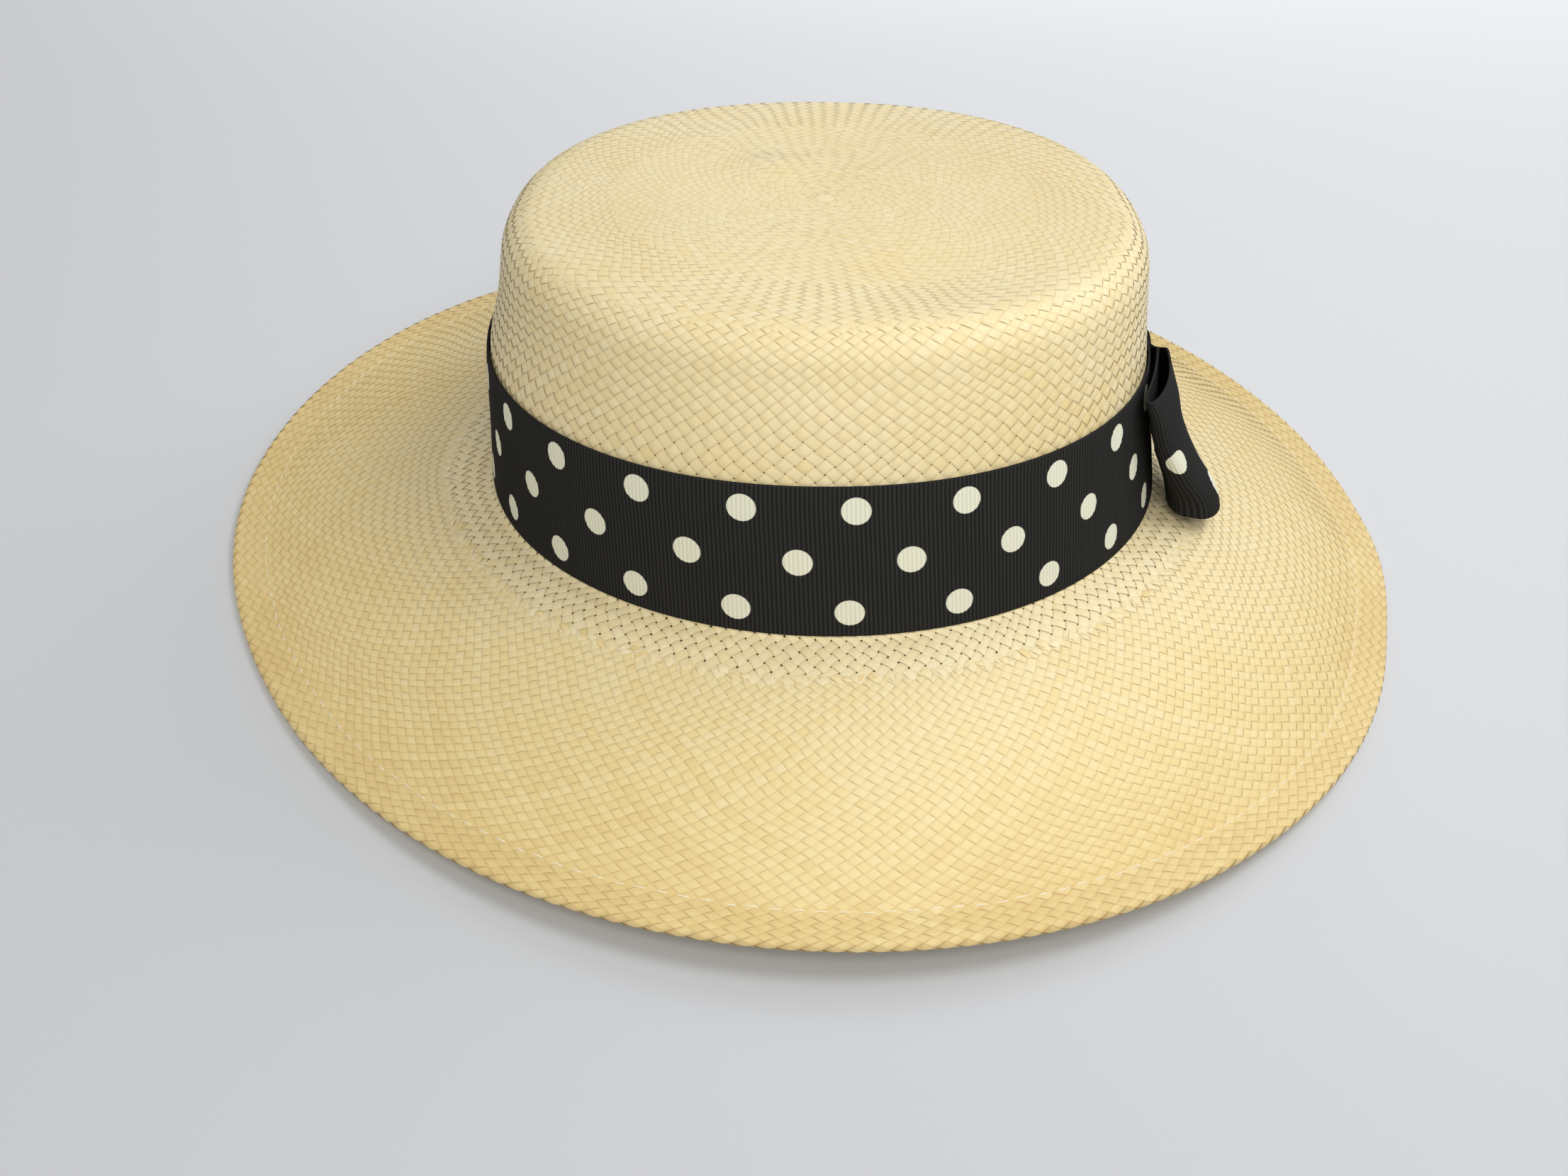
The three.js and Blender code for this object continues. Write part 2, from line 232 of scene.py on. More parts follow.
def top_point(share, azimuth):
    """Rings of the weave on the flat top: they start in its middle and end at the shoulder."""
    x, y = outline(FLAT_HALF_WIDTH * share, FLAT_HALF_LENGTH * share, azimuth, OUTLINE_SQUARENESS)
    marks = np.zeros_like(x)
    for mark in TOP_MARKS:
        size = mark["size"] * FLAT_HALF_WIDTH
        dx = (x - mark["across"] * FLAT_HALF_WIDTH) / size
        dy = (y - mark["along"] * FLAT_HALF_LENGTH) / size
        marks += mark["height"] * TOP_MARK * np.exp(-(dx * dx + dy * dy))
    z = CROWN_HEIGHT - TOP_SINK * (1 - share ** 2) ** 2 + (1 - share ** 6) * marks + RISE_SLOPE * y
    return np.stack([x - TOP_LEFT, y + TOP_SHIFT_FORWARD, z], -1)


def turn_matrix():
    a, b = np.radians(-CROWN_LEAN_FORWARD), np.radians(-CROWN_LEAN_LEFT)
    about_x = np.array([[1, 0, 0], [0, np.cos(a), -np.sin(a)], [0, np.sin(a), np.cos(a)]])
    about_y = np.array([[np.cos(b), 0, np.sin(b)], [0, 1, 0], [-np.sin(b), 0, np.cos(b)]])
    return about_x @ about_y


CROWN_TURN = turn_matrix()


def placed(points):
    return points @ CROWN_TURN.T + CROWN_FOOT


EDGE_ROUND = HEM_THICKNESS / 2


def edge_point(azimuth, inward, height):
    reach = wave(OUTLINE_ROWS, "reach", azimuth) * BRIM_RIPPLE - inward
    x, y = outline(BRIM_HALF_WIDTH + reach, BRIM_HALF_LENGTH + reach, azimuth, 2)
    return np.stack([x, y, wave(BRIM_ROWS, "lift", azimuth) * BRIM_WAVE + height + 0 * x], -1)


def brim_point(share, azimuth, hem):
    """share runs from the crown's foot to the hem, hem from there to the edge."""
    foot = placed(side_point(0 * azimuth, azimuth, 0))
    edge = edge_point(azimuth, EDGE_ROUND / 2, HEM_THICKNESS)
    hem_start = 1 - HEM_WIDTH / np.hypot(edge[..., 0] - foot[..., 0], edge[..., 1] - foot[..., 1])
    bulge = wave(BRIM_ROWS, "bulge", azimuth) * BRIM_BULGE * 4 * share * (1 - share)
    bend = (foot[..., 2] - edge[..., 2]) * (1 - hem_start) * (1 - HEM_SLOPE)
    whole = share * hem_start + hem * (1 - hem_start)
    point = foot + (edge - foot) * whole[..., None]
    point[..., 2] += bulge - bend * share ** 2 * (1 - hem)
    return point


# The woven surface as a grid of rings, from the middle of the top over crown and brim, round the edge
# and back to the hem's end
AROUND = 720
RINGS = [("top", 0.02, 1.0, 64), ("shoulder", 90, 0, 16), ("side", SIDE_HEIGHT, 0, 64), ("brim", 0, 1, 80),
         ("hem", 0, 1, 14), ("edge", 90, -90, 12), ("under", 1, 0, 12)]


def ring_at(stretch, value, azimuth):
    level = np.full_like(azimuth, value)
    if stretch == "top":
        return placed(top_point(level, azimuth))
    if stretch == "shoulder":
        return placed(shoulder_point(level, azimuth))
    if stretch == "side":
        return placed(side_point(level, azimuth, 0))
    if stretch == "brim":
        return brim_point(level, azimuth, 0 * level)
    if stretch == "hem":
        return brim_point(1 + 0 * level, azimuth, level)
    if stretch == "edge":
        inward = EDGE_ROUND / 2 * (1 - np.cos(np.radians(value)))
        return edge_point(azimuth, inward, EDGE_ROUND * (1 + np.sin(np.radians(value))))
    lowered = brim_point(1 + 0 * level, azimuth, level)
    lowered[..., 2] -= HEM_THICKNESS
    edge = edge_point(azimuth, EDGE_ROUND / 2, 0)
    return mix(lowered, edge, smooth(0.5, 1, level)[:, None])


def soften(grid, first, last, times):
    for _ in range(times):
        grid[first:last] = (grid[first - 1:last - 1] + 2 * grid[first:last] + grid[first + 1:last + 1]) / 4


def surface_grid():
    azimuth = np.arange(AROUND) * 360 / AROUND
    rings, starts = [], {}
    for stretch, first, last, count in RINGS:
        starts[stretch] = len(rings)
        values = np.linspace(first, last, count + 1)
        if stretch != RINGS[0][0]:
            values = values[1:]
        for value in values:
            rings.append(ring_at(stretch, value, azimuth))
    starts["end"] = len(rings) - 1
    grid = np.array(rings)
    # Straw bends in soft rounds: small at the crown's foot and at the hem, wide at the shoulder
    soften(grid, starts["brim"] - 3, starts["brim"] + 1, 3)
    soften(grid, starts["hem"] - 3, starts["hem"] + 1, 2)
    soften(grid, starts["shoulder"] - 8, starts["side"] + 10, 8)
    along_path = np.gradient(grid, axis=0)
    around = (np.roll(grid, -1, axis=1) - np.roll(grid, 1, axis=1)) / 2
    normal = np.cross(along_path, around)
    normal /= np.linalg.norm(normal, axis=2, keepdims=True)
    step = np.linalg.norm(np.diff(grid, axis=0), axis=2).mean(axis=1)
    length = np.concatenate([[0], np.cumsum(step)])
    girth = np.linalg.norm(around, axis=2).sum(axis=1)
    return grid, normal, length, girth, starts


GRID, NORMAL, LENGTH, GIRTH, STARTS = surface_grid()


def on_surface(row, azimuth, depth):
    """Point at a fractional ring and azimuth, moved along the normal."""
    row = np.clip(row, 0, len(GRID) - 1.0001)
    r = np.floor(row).astype(int)
    fr = (row - r)[..., None]
    column = np.mod(azimuth, 360) / 360 * AROUND
    c = np.floor(column).astype(int) % AROUND
    fc = (column - np.floor(column))[..., None]
    d = (c + 1) % AROUND
    point = mix(mix(GRID[r, c], GRID[r, d], fc), mix(GRID[r + 1, c], GRID[r + 1, d], fc), fr)
    normal = mix(mix(NORMAL[r, c], NORMAL[r, d], fc), mix(NORMAL[r + 1, c], NORMAL[r + 1, d], fc), fr)
    normal /= np.linalg.norm(normal, axis=-1, keepdims=True)
    return point + normal * depth[..., None]


def row_at(stretch, millimetres):
    """Ring that lies this far along the path from the start of a stretch."""
    start = max(STARTS[stretch] - 1, 0)
    return float(np.interp(LENGTH[start] + millimetres, LENGTH, np.arange(len(GRID))))


# How the straws cross along the path: stretch, millimetres from its start, and the distance between
# crossings round the hat over the distance down the hat
CROSSINGS = [
    ("top", 0.0, 1.6),
    ("shoulder", 0.0, 1.5),
    ("side", 0.0, 1.5),
    ("side", 12.0, 1.3),
    ("side", 23.0, 1.12),
    ("side", 50.0, 1.0),
    ("brim", 12.5, 0.92),
    ("brim", 25.0, 1.15),
    ("brim", 41.0, 1.3),
    ("brim", 54.0, 1.7),
    ("hem", 0.0, 1.85),
]
CROSSING_ROWS = [row_at(stretch, along) for stretch, along, _ in CROSSINGS]
SQUASH = np.interp(np.arange(len(GRID)), CROSSING_ROWS, [squash for _, _, squash in CROSSINGS])


# Slow waves in which the weave wanders: waves round the hat, millimetres per wave down it, phase,
# share of DRIFT
DRIFTS = {
    "around": [(5, 47.0, 0.3, 0.5), (11, 31.0, 2.1, 0.35), (17, 23.0, 4.0, 0.25)],
    "down": [(4, 53.0, 1.2, 0.4), (9, 29.0, 5.2, 0.3), (14, 37.0, 3.3, 0.25)],
}


def drift(way, azimuth, length):
    total = 0 * azimuth
    for waves, period, phase, share in DRIFTS[way]:
        total = total + share * np.sin(np.radians(waves * azimuth) + 2 * np.pi * length / period + phase)
    return DRIFT * total


def mesh_object(name, points, quads, attributes, material):
    mesh = bpy.data.meshes.new(name)
    mesh.vertices.add(len(points))
    mesh.vertices.foreach_set("co", (points * MM).astype(np.float32).ravel())
    mesh.loops.add(quads.size)
    mesh.loops.foreach_set("vertex_index", quads.astype(np.int32).ravel())
    mesh.polygons.add(len(quads))
    mesh.polygons.foreach_set("loop_start", np.arange(0, quads.size, 4, dtype=np.int32))
    mesh.update(calc_edges=True)
    mesh.polygons.foreach_set("use_smooth", np.full(len(quads), True))
    for key, values in attributes.items():
        layer = mesh.attributes.new(key, "FLOAT", "POINT")
        layer.data.foreach_set("value", values.astype(np.float32).ravel())
    mesh.materials.append(material)
    mesh.validate()
    obj = bpy.data.objects.new(name, mesh)
    bpy.context.scene.collection.objects.link(obj)
    return obj


# Materials
def new_material(name):
    material = bpy.data.materials.new(name)
    material.use_nodes = True
    nodes = material.node_tree.nodes
    shader = next(n for n in nodes if n.type == "BSDF_PRINCIPLED")
    return material, nodes, material.node_tree.links, shader


def math_node(nodes, links, operation, first, second=None, third=None):
    node = nodes.new("ShaderNodeMath")
    node.operation = operation
    for socket, value in zip(node.inputs, (first, second, third)):
        if value is None:
            continue
        if isinstance(value, (int, float)):
            socket.default_value = value
        else:
            links.new(value, socket)
    return node.outputs[0]


def attribute(nodes, name):
    node = nodes.new("ShaderNodeAttribute")
    node.attribute_name = name
    return node.outputs["Fac"]


def ramp(nodes, links, factor, stops):
    node = nodes.new("ShaderNodeValToRGB")
    elements = node.color_ramp.elements
    while len(elements) < len(stops):
        elements.new(0.5)
    for element, (place, colour) in zip(elements, stops):
        element.position = place
        element.color = (*colour, 1)
    links.new(factor, node.inputs["Fac"])
    return node.outputs["Color"]


def noise(nodes, links, place, scale, detail):
    node = nodes.new("ShaderNodeTexNoise")
    node.inputs["Scale"].default_value = scale
    node.inputs["Detail"].default_value = detail
    links.new(place, node.inputs["Vector"])
    return node.outputs["Fac"]


def blend(nodes, links, factor, first, second, way="MIX"):
    """Two colours blended by a factor. The second is a socket or a fixed colour."""
    node = nodes.new("ShaderNodeMix")
    node.data_type = "RGBA"
    node.blend_type = way
    links.new(factor, node.inputs["Factor"])
    links.new(first, node.inputs["A"])
    if isinstance(second, tuple):
        node.inputs["B"].default_value = (*second, 1)
    else:
        links.new(second, node.inputs["B"])
    return node.outputs["Result"]


def straw_material():
    material, nodes, links, shader = new_material("straw")
    tone = attribute(nodes, "tone")
    across = attribute(nodes, "across")
    length = attribute(nodes, "length_mm")
    fibre_place = nodes.new("ShaderNodeCombineXYZ")
    for socket, source, scale in zip(fibre_place.inputs, (across, length, tone), FIBRE_SCALES):
        links.new(math_node(nodes, links, "MULTIPLY", source, scale), socket)
    fibre = noise(nodes, links, fibre_place.outputs[0], *FIBRE_NOISE)
    patch_place = nodes.new("ShaderNodeTexCoord")
    patch = noise(nodes, links, patch_place.outputs["Object"], *PATCH_NOISE)
    streaked = math_node(nodes, links, "MULTIPLY_ADD", fibre, FIBRE_TONE, -FIBRE_TONE / 2)
    streaked = math_node(nodes, links, "ADD", streaked, tone)
    patched = math_node(nodes, links, "MULTIPLY_ADD", patch, PATCH_TONE, -PATCH_TONE / 2)
    mixed = math_node(nodes, links, "ADD", streaked, patched)
    colour = ramp(nodes, links, mixed, STRAW_COLOURS)
    # painted shade along both edges of every straw, where it dips under its neighbours
    edge = math_node(nodes, links, "POWER", math_node(nodes, links, "ABSOLUTE", across), EDGE_POWER)
    edge = math_node(nodes, links, "MULTIPLY", edge, EDGE_PAINTED_SHADE)
    shaded = blend(nodes, links, edge, colour, STRAW_EDGE_PAINTED_SHADE, "MULTIPLY")
    links.new(shaded, shader.inputs["Base Color"])
    curve = math_node(nodes, links, "MULTIPLY", across, across)
    streak = math_node(nodes, links, "MULTIPLY", fibre, STREAK_HEIGHT)
    bump = nodes.new("ShaderNodeBump")
    bump.inputs["Strength"].default_value = BUMP_STRENGTH
    bump.inputs["Distance"].default_value = MM
    links.new(math_node(nodes, links, "MULTIPLY_ADD", curve, -STRAW_CURVE, streak), bump.inputs["Height"])
    links.new(bump.outputs["Normal"], shader.inputs["Normal"])
    shader.inputs["Roughness"].default_value = 0.5
    shader.inputs["Specular IOR Level"].default_value = 0.35
    return material


def dots(nodes, links):
    """1 on the ribbon's dots and 0 between them."""
    length = attribute(nodes, "length_mm")
    up = attribute(nodes, "up_mm")
    nearest = None
    for row_up, row_start in DOT_ROWS:
        moved = math_node(nodes, links, "ADD", length, DOT_PERIOD * DOT_PERIODS_BEFORE - row_start)
        inside = math_node(nodes, links, "MODULO", moved, DOT_PERIOD)
        aside = math_node(nodes, links, "SUBTRACT", inside, DOT_PERIOD / 2)
        above = math_node(nodes, links, "SUBTRACT", up, row_up)
        above_square = math_node(nodes, links, "MULTIPLY", above, above)
        square = math_node(nodes, links, "MULTIPLY_ADD", aside, aside, above_square)
        reach = math_node(nodes, links, "SQRT", square)
        nearest = reach if nearest is None else math_node(nodes, links, "MINIMUM", nearest, reach)
    dot = nodes.new("ShaderNodeMapRange")
    dot.interpolation_type = "SMOOTHSTEP"
    dot.inputs["From Min"].default_value = DOT_RADIUS + DOT_BLUR
    dot.inputs["From Max"].default_value = DOT_RADIUS - DOT_BLUR
    links.new(nearest, dot.inputs["Value"])
    return dot.outputs["Result"]


def ribbon_material():
    """Ribbed black ribbon with dots where the mesh is marked as printed, and painted shade in the grooves
    between the ribs, lighter on their tops.
    """
    material, nodes, links, shader = new_material("ribbon")
    # painted shade and sheen: colour darker where the ribs dip and lighter where they rise
    rib_turn = math_node(nodes, links, "MULTIPLY", attribute(nodes, "rib_mm"), 2 * np.pi / RIB_PITCH)
    rib_shade = math_node(nodes, links, "MULTIPLY_ADD", math_node(nodes, links, "SINE", rib_turn), 0.5, 0.5)
    black = ramp(nodes, links, rib_shade, RIBBON_BLACKS_AND_RIB_SHADE)
    white = ramp(nodes, links, rib_shade, RIBBON_WHITES_AND_RIB_SHADE)
    printed = math_node(nodes, links, "MULTIPLY", dots(nodes, links), attribute(nodes, "printed"))
    links.new(blend(nodes, links, printed, black, white), shader.inputs["Base Color"])
    shader.inputs["Roughness"].default_value = 0.7
    shader.inputs["Specular IOR Level"].default_value = 0.015
    return material


def thread_material():
    material, _, _, shader = new_material("thread")
    shader.inputs["Base Color"].default_value = (*THREAD_COLOUR, 1)
    shader.inputs["Roughness"].default_value = 0.45
    return material


STRAW = straw_material()
RIBBON = ribbon_material()
THREAD = thread_material()

# Weave: straws lie on the bias both ways and pass over and under each other
STRAW_SAMPLES = np.array([0.0, 0.18, 0.5, 0.82])  # places of a straw's points within one crossing
ARCH_POWER = 0.6
SKIN = 0.03  # how far the highest straws stay under the solid's face
TUCK = 0.9  # crossings that straws run on past their zone, under the next one
LEAST_GAP = 0.04  # distance between neighbours where the weave is tight
TIGHT = (LEAST_GAP, LEAST_GAP)
TONE_SPREAD = 0.07
WIDTH_SPREAD = (0.965, 1.0)
SHIFT_SPREAD = 0.02
CALM_ENDS = 30.0  # how far from either end of the path the wander fades
SINK_CROSSINGS = 0.9  # crossings over which a sunk start comes up again


def straws(name, first_row, last_row, count, gaps, rise, turned, sink_start, tones):
    """One zone of plain weave between two rings: count straws lean each way.

    gaps are the millimetres left between neighbours and tones the tone of the straw, at both ends of
    the zone. turned is the zone's turn round the hat in degrees, and sink_start lowers its beginning.
    """
    rows = np.arange(len(GRID), dtype=float)
    fine = np.linspace(first_row, last_row, 400)
    girth = np.interp(fine, rows, GIRTH)
    length = np.interp(fine, rows, LENGTH)
    squash = np.interp(fine, rows, SQUASH)
    step = count * np.diff(length) * squash[1:] / ((girth[1:] + girth[:-1]) / 2)
    v_at = np.concatenate([[0], np.cumsum(step)])
    total = v_at[-1]
    slope = (v_at[-1] - v_at[-2]) / (fine[-1] - fine[-2])
    slope_start = (v_at[1] - v_at[0]) / (fine[1] - fine[0])

    def row_of(v):
        inside = np.interp(v, v_at, fine)
        before = np.minimum(v, 0) / slope_start
        after = np.maximum(v - total, 0) / slope
        return inside + before + after

    first = np.floor(-2 * (total + TUCK / 2))
    last = np.ceil(1 + TUCK)
    kappa = (np.arange(first, last)[:, None] + STRAW_SAMPLES[None, :]).ravel()
    kappa = np.append(kappa, last)
    v_mid = (0.5 - kappa) / 2
    keep = (v_mid >= -TUCK / 2) & (v_mid <= total + TUCK / 2)
    kappa, v_mid = kappa[keep], v_mid[keep]
    cell = np.floor(kappa + 1e-9)
    arch = np.sin(np.pi * (kappa - cell)) ** ARCH_POWER
    zone_share = np.clip(v_mid / total, 0, 1)
    row_mid = row_of(v_mid)
    pitch = np.interp(row_mid, rows, GIRTH) / count / np.sqrt(1 + np.interp(row_mid, rows, SQUASH) ** 2)
    filled = 1 - np.maximum(LEAST_GAP, mix(*gaps, zone_share)) / pitch
    points, quads, straw_tones, acrosses, lengths = [], [], [], [], []
    base = 0
    for family in (0, 1):
        index = np.arange(count)
        tone = rng.normal(0, TONE_SPREAD, count)[:, None, None] + mix(*tones, zone_share)[None, :, None]
        width_share = rng.uniform(*WIDTH_SPREAD, count)
        shift = rng.uniform(-SHIFT_SPREAD, SHIFT_SPREAD, count)
        sign = np.where((cell + family) % 2 == 0, 1.0, -1.0)
        half = filled[None, :] * width_share[:, None] / 2
        edges = []
        for side in (-1, 1):
            off = side * half + shift[:, None]
            v = (0.5 + off - kappa[None, :]) / 2
            u = index[:, None] + (0.5 + off + kappa[None, :]) / 2
            if family:
                u = -u
            depth = -rise - SKIN + rise * (sign * arch)[None, :] + 0 * u
            depth = depth - sink_start * (1 - smooth(0.0, SINK_CROSSINGS, v))
            row = row_of(v)
            azimuth = turned + 360 * u / count
            place = np.interp(row, rows, LENGTH)
            calm = smooth(0, CALM_ENDS, place) * smooth(LENGTH[-1], LENGTH[-1] - CALM_ENDS, place)
            wander = calm * drift("around", azimuth, place) * 360 / np.interp(row, rows, GIRTH)
            place = place + calm * drift("down", azimuth, place)
            edges.append(on_surface(np.interp(place, LENGTH, rows), azimuth + wander, depth))
        pair = np.stack(edges, axis=2)
        n, m = pair.shape[:2]
        points.append(pair.reshape(-1, 3))
        start = base + (np.arange(n)[:, None] * m + np.arange(m - 1)[None, :]) * 2
        order = [0, 1, 3, 2] if family == 0 else [0, 2, 3, 1]
        quads.append((start[..., None] + np.array(order)).reshape(-1, 4))
        straw_tones.append(np.broadcast_to(np.clip(tone, 0.02, 0.98), (n, m, 2)).ravel())
        acrosses.append(np.broadcast_to(np.array([-1.0, 1.0])[None, None, :], (n, m, 2)).ravel())
        millimetres = np.cumsum(np.concatenate([[0], np.diff(kappa)])) * pitch.mean()
        lengths.append(np.broadcast_to(millimetres[None, :, None], (n, m, 2)).ravel())
        base += n * m * 2
    attributes = {
        "tone": np.concatenate(straw_tones),
        "across": np.concatenate(acrosses),
        "length_mm": np.concatenate(lengths),
    }
    return mesh_object(name, np.concatenate(points), np.concatenate(quads), attributes, STRAW)


# Crown top, from its middle out: outer end as a share of the top, straws each way
TOP_ZONES = [(0.07, 8), (0.12, 11), (0.19, 17), (0.28, 26), (0.4, 38), (0.54, 54), (0.72, 76)]
TOP_START = 0.03
TOP_TURNS = (0, 30)
TOP_TONES = (0.6, 0.6)
TOP_RISE = 0.05
RIM_STRAWS = 106
RIM_TONES = (0.6, 0.75)
RIM_RISE = 0.07
SHOULDER_MIDDLE = row_at("shoulder", 3.0)
RING_END = row_at("brim", 12.5)

# Zones from the shoulder to the hem's end: name, last ring, straws each way, gaps (tight as far as they
# come out under LEAST_GAP), rise over a crossing, turn, sink of the start, tones
ZONES = [
    ("straw_crown_side", row_at("side", 43.0), 133, (-0.12, 0.42), 0.15, 0.0, 0.0, (0.75, 0.55)),
    ("straw_open_ring", RING_END, 166, (0.3, 0.4), 0.13, 0.0, 0.0, (0.65, 0.8)),
    ("straw_brim", STARTS["hem"] - 1.0, 222, TIGHT, 0.12, 0.4, 0.12, (0.6, 0.2)),
    ("straw_hem", STARTS["end"], 222, TIGHT, 0.1, 0.4, 0.0, (0.08, 0.08)),
]


def top_row(share):
    first, last = RINGS[0][1], RINGS[0][2]
    return (share - first) / (last - first) * RINGS[0][3]


def joined(name, parts):
    bpy.ops.object.select_all(action="DESELECT")
    for part in parts:
        part.select_set(True)
    bpy.context.view_layer.objects.active = parts[0]
    bpy.ops.object.join()
    parts[0].name = name
    return parts[0]


def crown_top():
    parts = []
    inner = TOP_START
    for outer, count in TOP_ZONES:
        turned = rng.uniform(*TOP_TURNS)
        rings = (top_row(inner), top_row(outer))
        parts.append(straws("top_zone", *rings, count, TIGHT, TOP_RISE, turned, 0.0, TOP_TONES))
        inner = outer
    rings = (top_row(inner), SHOULDER_MIDDLE)
    parts.append(straws("top_zone", *rings, RIM_STRAWS, TIGHT, RIM_RISE, 0.0, 0.0, RIM_TONES))
    return joined("straw_crown_top", parts)


def crown_to_hem():
    made = []
    first_row = SHOULDER_MIDDLE
    for name, last_row, *weave in ZONES:
        made.append(straws(name, first_row, last_row, *weave))
        first_row = last_row
    return made


# Short ends where straws are added to the weave, in one row round the open ring
END_COUNT = 230
END_RUN = np.linspace(-0.5, 0.5, 7)
END_LEANS = (20, 65)
END_LENGTHS = (2.0, 4.0)
END_WIDTHS = (0.9, 1.8)
END_BOWS = (-0.5, 0.5)
END_SCATTER = 0.7
END_LIFTS = (0.08, 0.3)
END_SINK = 0.12
END_SHIFTS = (-0.3, 0.3)
END_TONES = (0.6, 0.2)  # mean and spread
END_STREAK_LENGTH = 2.4


def added_ends():
    count = END_COUNT
    rows = np.arange(len(GRID), dtype=float)
    girth = np.interp(RING_END, rows, GIRTH)
    nearby = np.interp(RING_END + 0.5, rows, LENGTH) - np.interp(RING_END - 0.5, rows, LENGTH)
    rows_per_mm = 1 / nearby
    arch = np.cos(np.pi * END_RUN)
    lean = np.radians(rng.uniform(*END_LEANS, count) * rng.choice((-1, 1), count))[:, None]
    length = rng.uniform(*END_LENGTHS, count)[:, None]
    width = rng.uniform(*END_WIDTHS, count)[:, None] * (0.4 + 0.6 * arch)
    bow = rng.uniform(*END_BOWS, count)[:, None] * arch
    start = rng.normal(0, END_SCATTER, count)[:, None]
    lift = rng.uniform(*END_LIFTS, count)[:, None] * arch - END_SINK
    edges = []
    for side in (-1, 1):
        aside = bow + side * width / 2
        along = END_RUN * length * np.cos(lean) - aside * np.sin(lean)
        outward = start + END_RUN * length * np.sin(lean) + aside * np.cos(lean)
        shifted = np.arange(count)[:, None] + rng.uniform(*END_SHIFTS)
        azimuth = shifted * 360 / count + along * 360 / girth
        edges.append(on_surface(RING_END + outward * rows_per_mm, azimuth, lift))
    pair = np.stack(edges, axis=2)
    steps = len(END_RUN)
    first = (np.arange(count)[:, None] * steps + np.arange(steps - 1)[None, :]) * 2
    quads = (first[..., None] + np.array([0, 1, 3, 2])).reshape(-1, 4)
    tone = np.clip(rng.normal(*END_TONES, count), 0, 1)
    attributes = {
        "tone": np.repeat(tone, steps * 2),
        "across": np.tile([-1.0, 1.0], count * steps),
        "length_mm": np.tile(np.repeat(END_RUN * END_STREAK_LENGTH, 2), count),
    }
    return mesh_object("straw_added_ends", pair.reshape(-1, 3), quads, attributes, STRAW)


BUTTON_SIDES = 24
BUTTON_RINGS = [(0.04, -0.25), (0.034, 0.0), (0.022, 0.14), (0.01, 0.2), (0.001, 0.22)]  # share, lift
BUTTON_TONE = 0.7


def button():
    """The small flat knot of straw in the middle of the top, where the weave starts."""
    turns = np.arange(BUTTON_SIDES) * (360 / BUTTON_SIDES)
    points, quads = [], []
    for share, lift in BUTTON_RINGS:
        ring = placed(top_point(np.full_like(turns, share), turns))
        ring[:, 2] += lift
        points.append(ring)
    for r in range(len(points) - 1):
        low, high = r * BUTTON_SIDES, (r + 1) * BUTTON_SIDES
        for i in range(BUTTON_SIDES):
            j = (i + 1) % BUTTON_SIDES
            quads.append([low + i, low + j, high + j, high + i])
    points = np.concatenate(points)
    attributes = {
        "tone": np.full(len(points), BUTTON_TONE),
        "across": np.zeros(len(points)),
        "length_mm": points[:, 0],
    }
    return mesh_object("straw_button", points, np.array(quads), attributes, STRAW)


for piece in [crown_top(), *crown_to_hem(), added_ends(), button()]:
    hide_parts("crown_and_brim")
    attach(piece, "root")


# Stitches of the hem, each a short rounded thread whose ends go down into the straw
STITCH_RUN = np.array([-0.5, -0.46, -0.3, 0.3, 0.46, 0.5])
STITCH_PROFILE = np.array([0.0, 0.35, 1.0, 1.0, 0.35, 0.0])
STITCH_SIDES = 6
STITCH_RADIUS = 0.15
STITCH_TIP = 0.35  # radius at the ends as a share of the radius
STITCH_SINK = 0.45
STITCH_SCATTER = 0.3
STITCH_ROWS = (STARTS["hem"] - 0.6, STARTS["end"] - 0.9)


def stitches():
    girth = float(GIRTH[STARTS["hem"] - 1])
    count = int(girth / STITCH_STEP)
    steps, sides = len(STITCH_RUN), STITCH_SIDES
    points, quads = [], []
    base = 0
    for row in STITCH_ROWS:
        jitter = rng.uniform(-STITCH_SCATTER, STITCH_SCATTER, count)
        for i in range(count):
            centre = 360 * (i + 0.15 * jitter[i]) / count
            span = 360 * STITCH_LENGTH / girth
            azimuth = centre + STITCH_RUN * span
            rows = np.full(steps, row) + jitter[i]
            line = on_surface(rows, azimuth, -STITCH_SINK * (1 - STITCH_PROFILE))
            up = on_surface(rows, azimuth, np.ones(steps)) - line
            up /= np.linalg.norm(up, axis=1, keepdims=True)
            along = np.gradient(line, axis=0)
            along /= np.linalg.norm(along, axis=1, keepdims=True)
            aside = np.cross(along, up)
            for j in range(steps):
                radius = STITCH_RADIUS * mix(STITCH_TIP, 1, STITCH_PROFILE[j])
                for a in np.radians(np.arange(sides) * (360 / sides)):
                    points.append(line[j] + radius * (np.cos(a) * aside[j] + np.sin(a) * up[j]))
            for j in range(steps - 1):
                low, high = base + j * sides, base + (j + 1) * sides
                for a in range(sides):
                    b = (a + 1) % sides
                    quads.append([low + a, low + b, high + b, high + a])
            base += steps * sides
    obj = mesh_object("hem_stitches", np.array(points), np.array(quads), {}, THREAD)
    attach(obj, "root")


stitches()


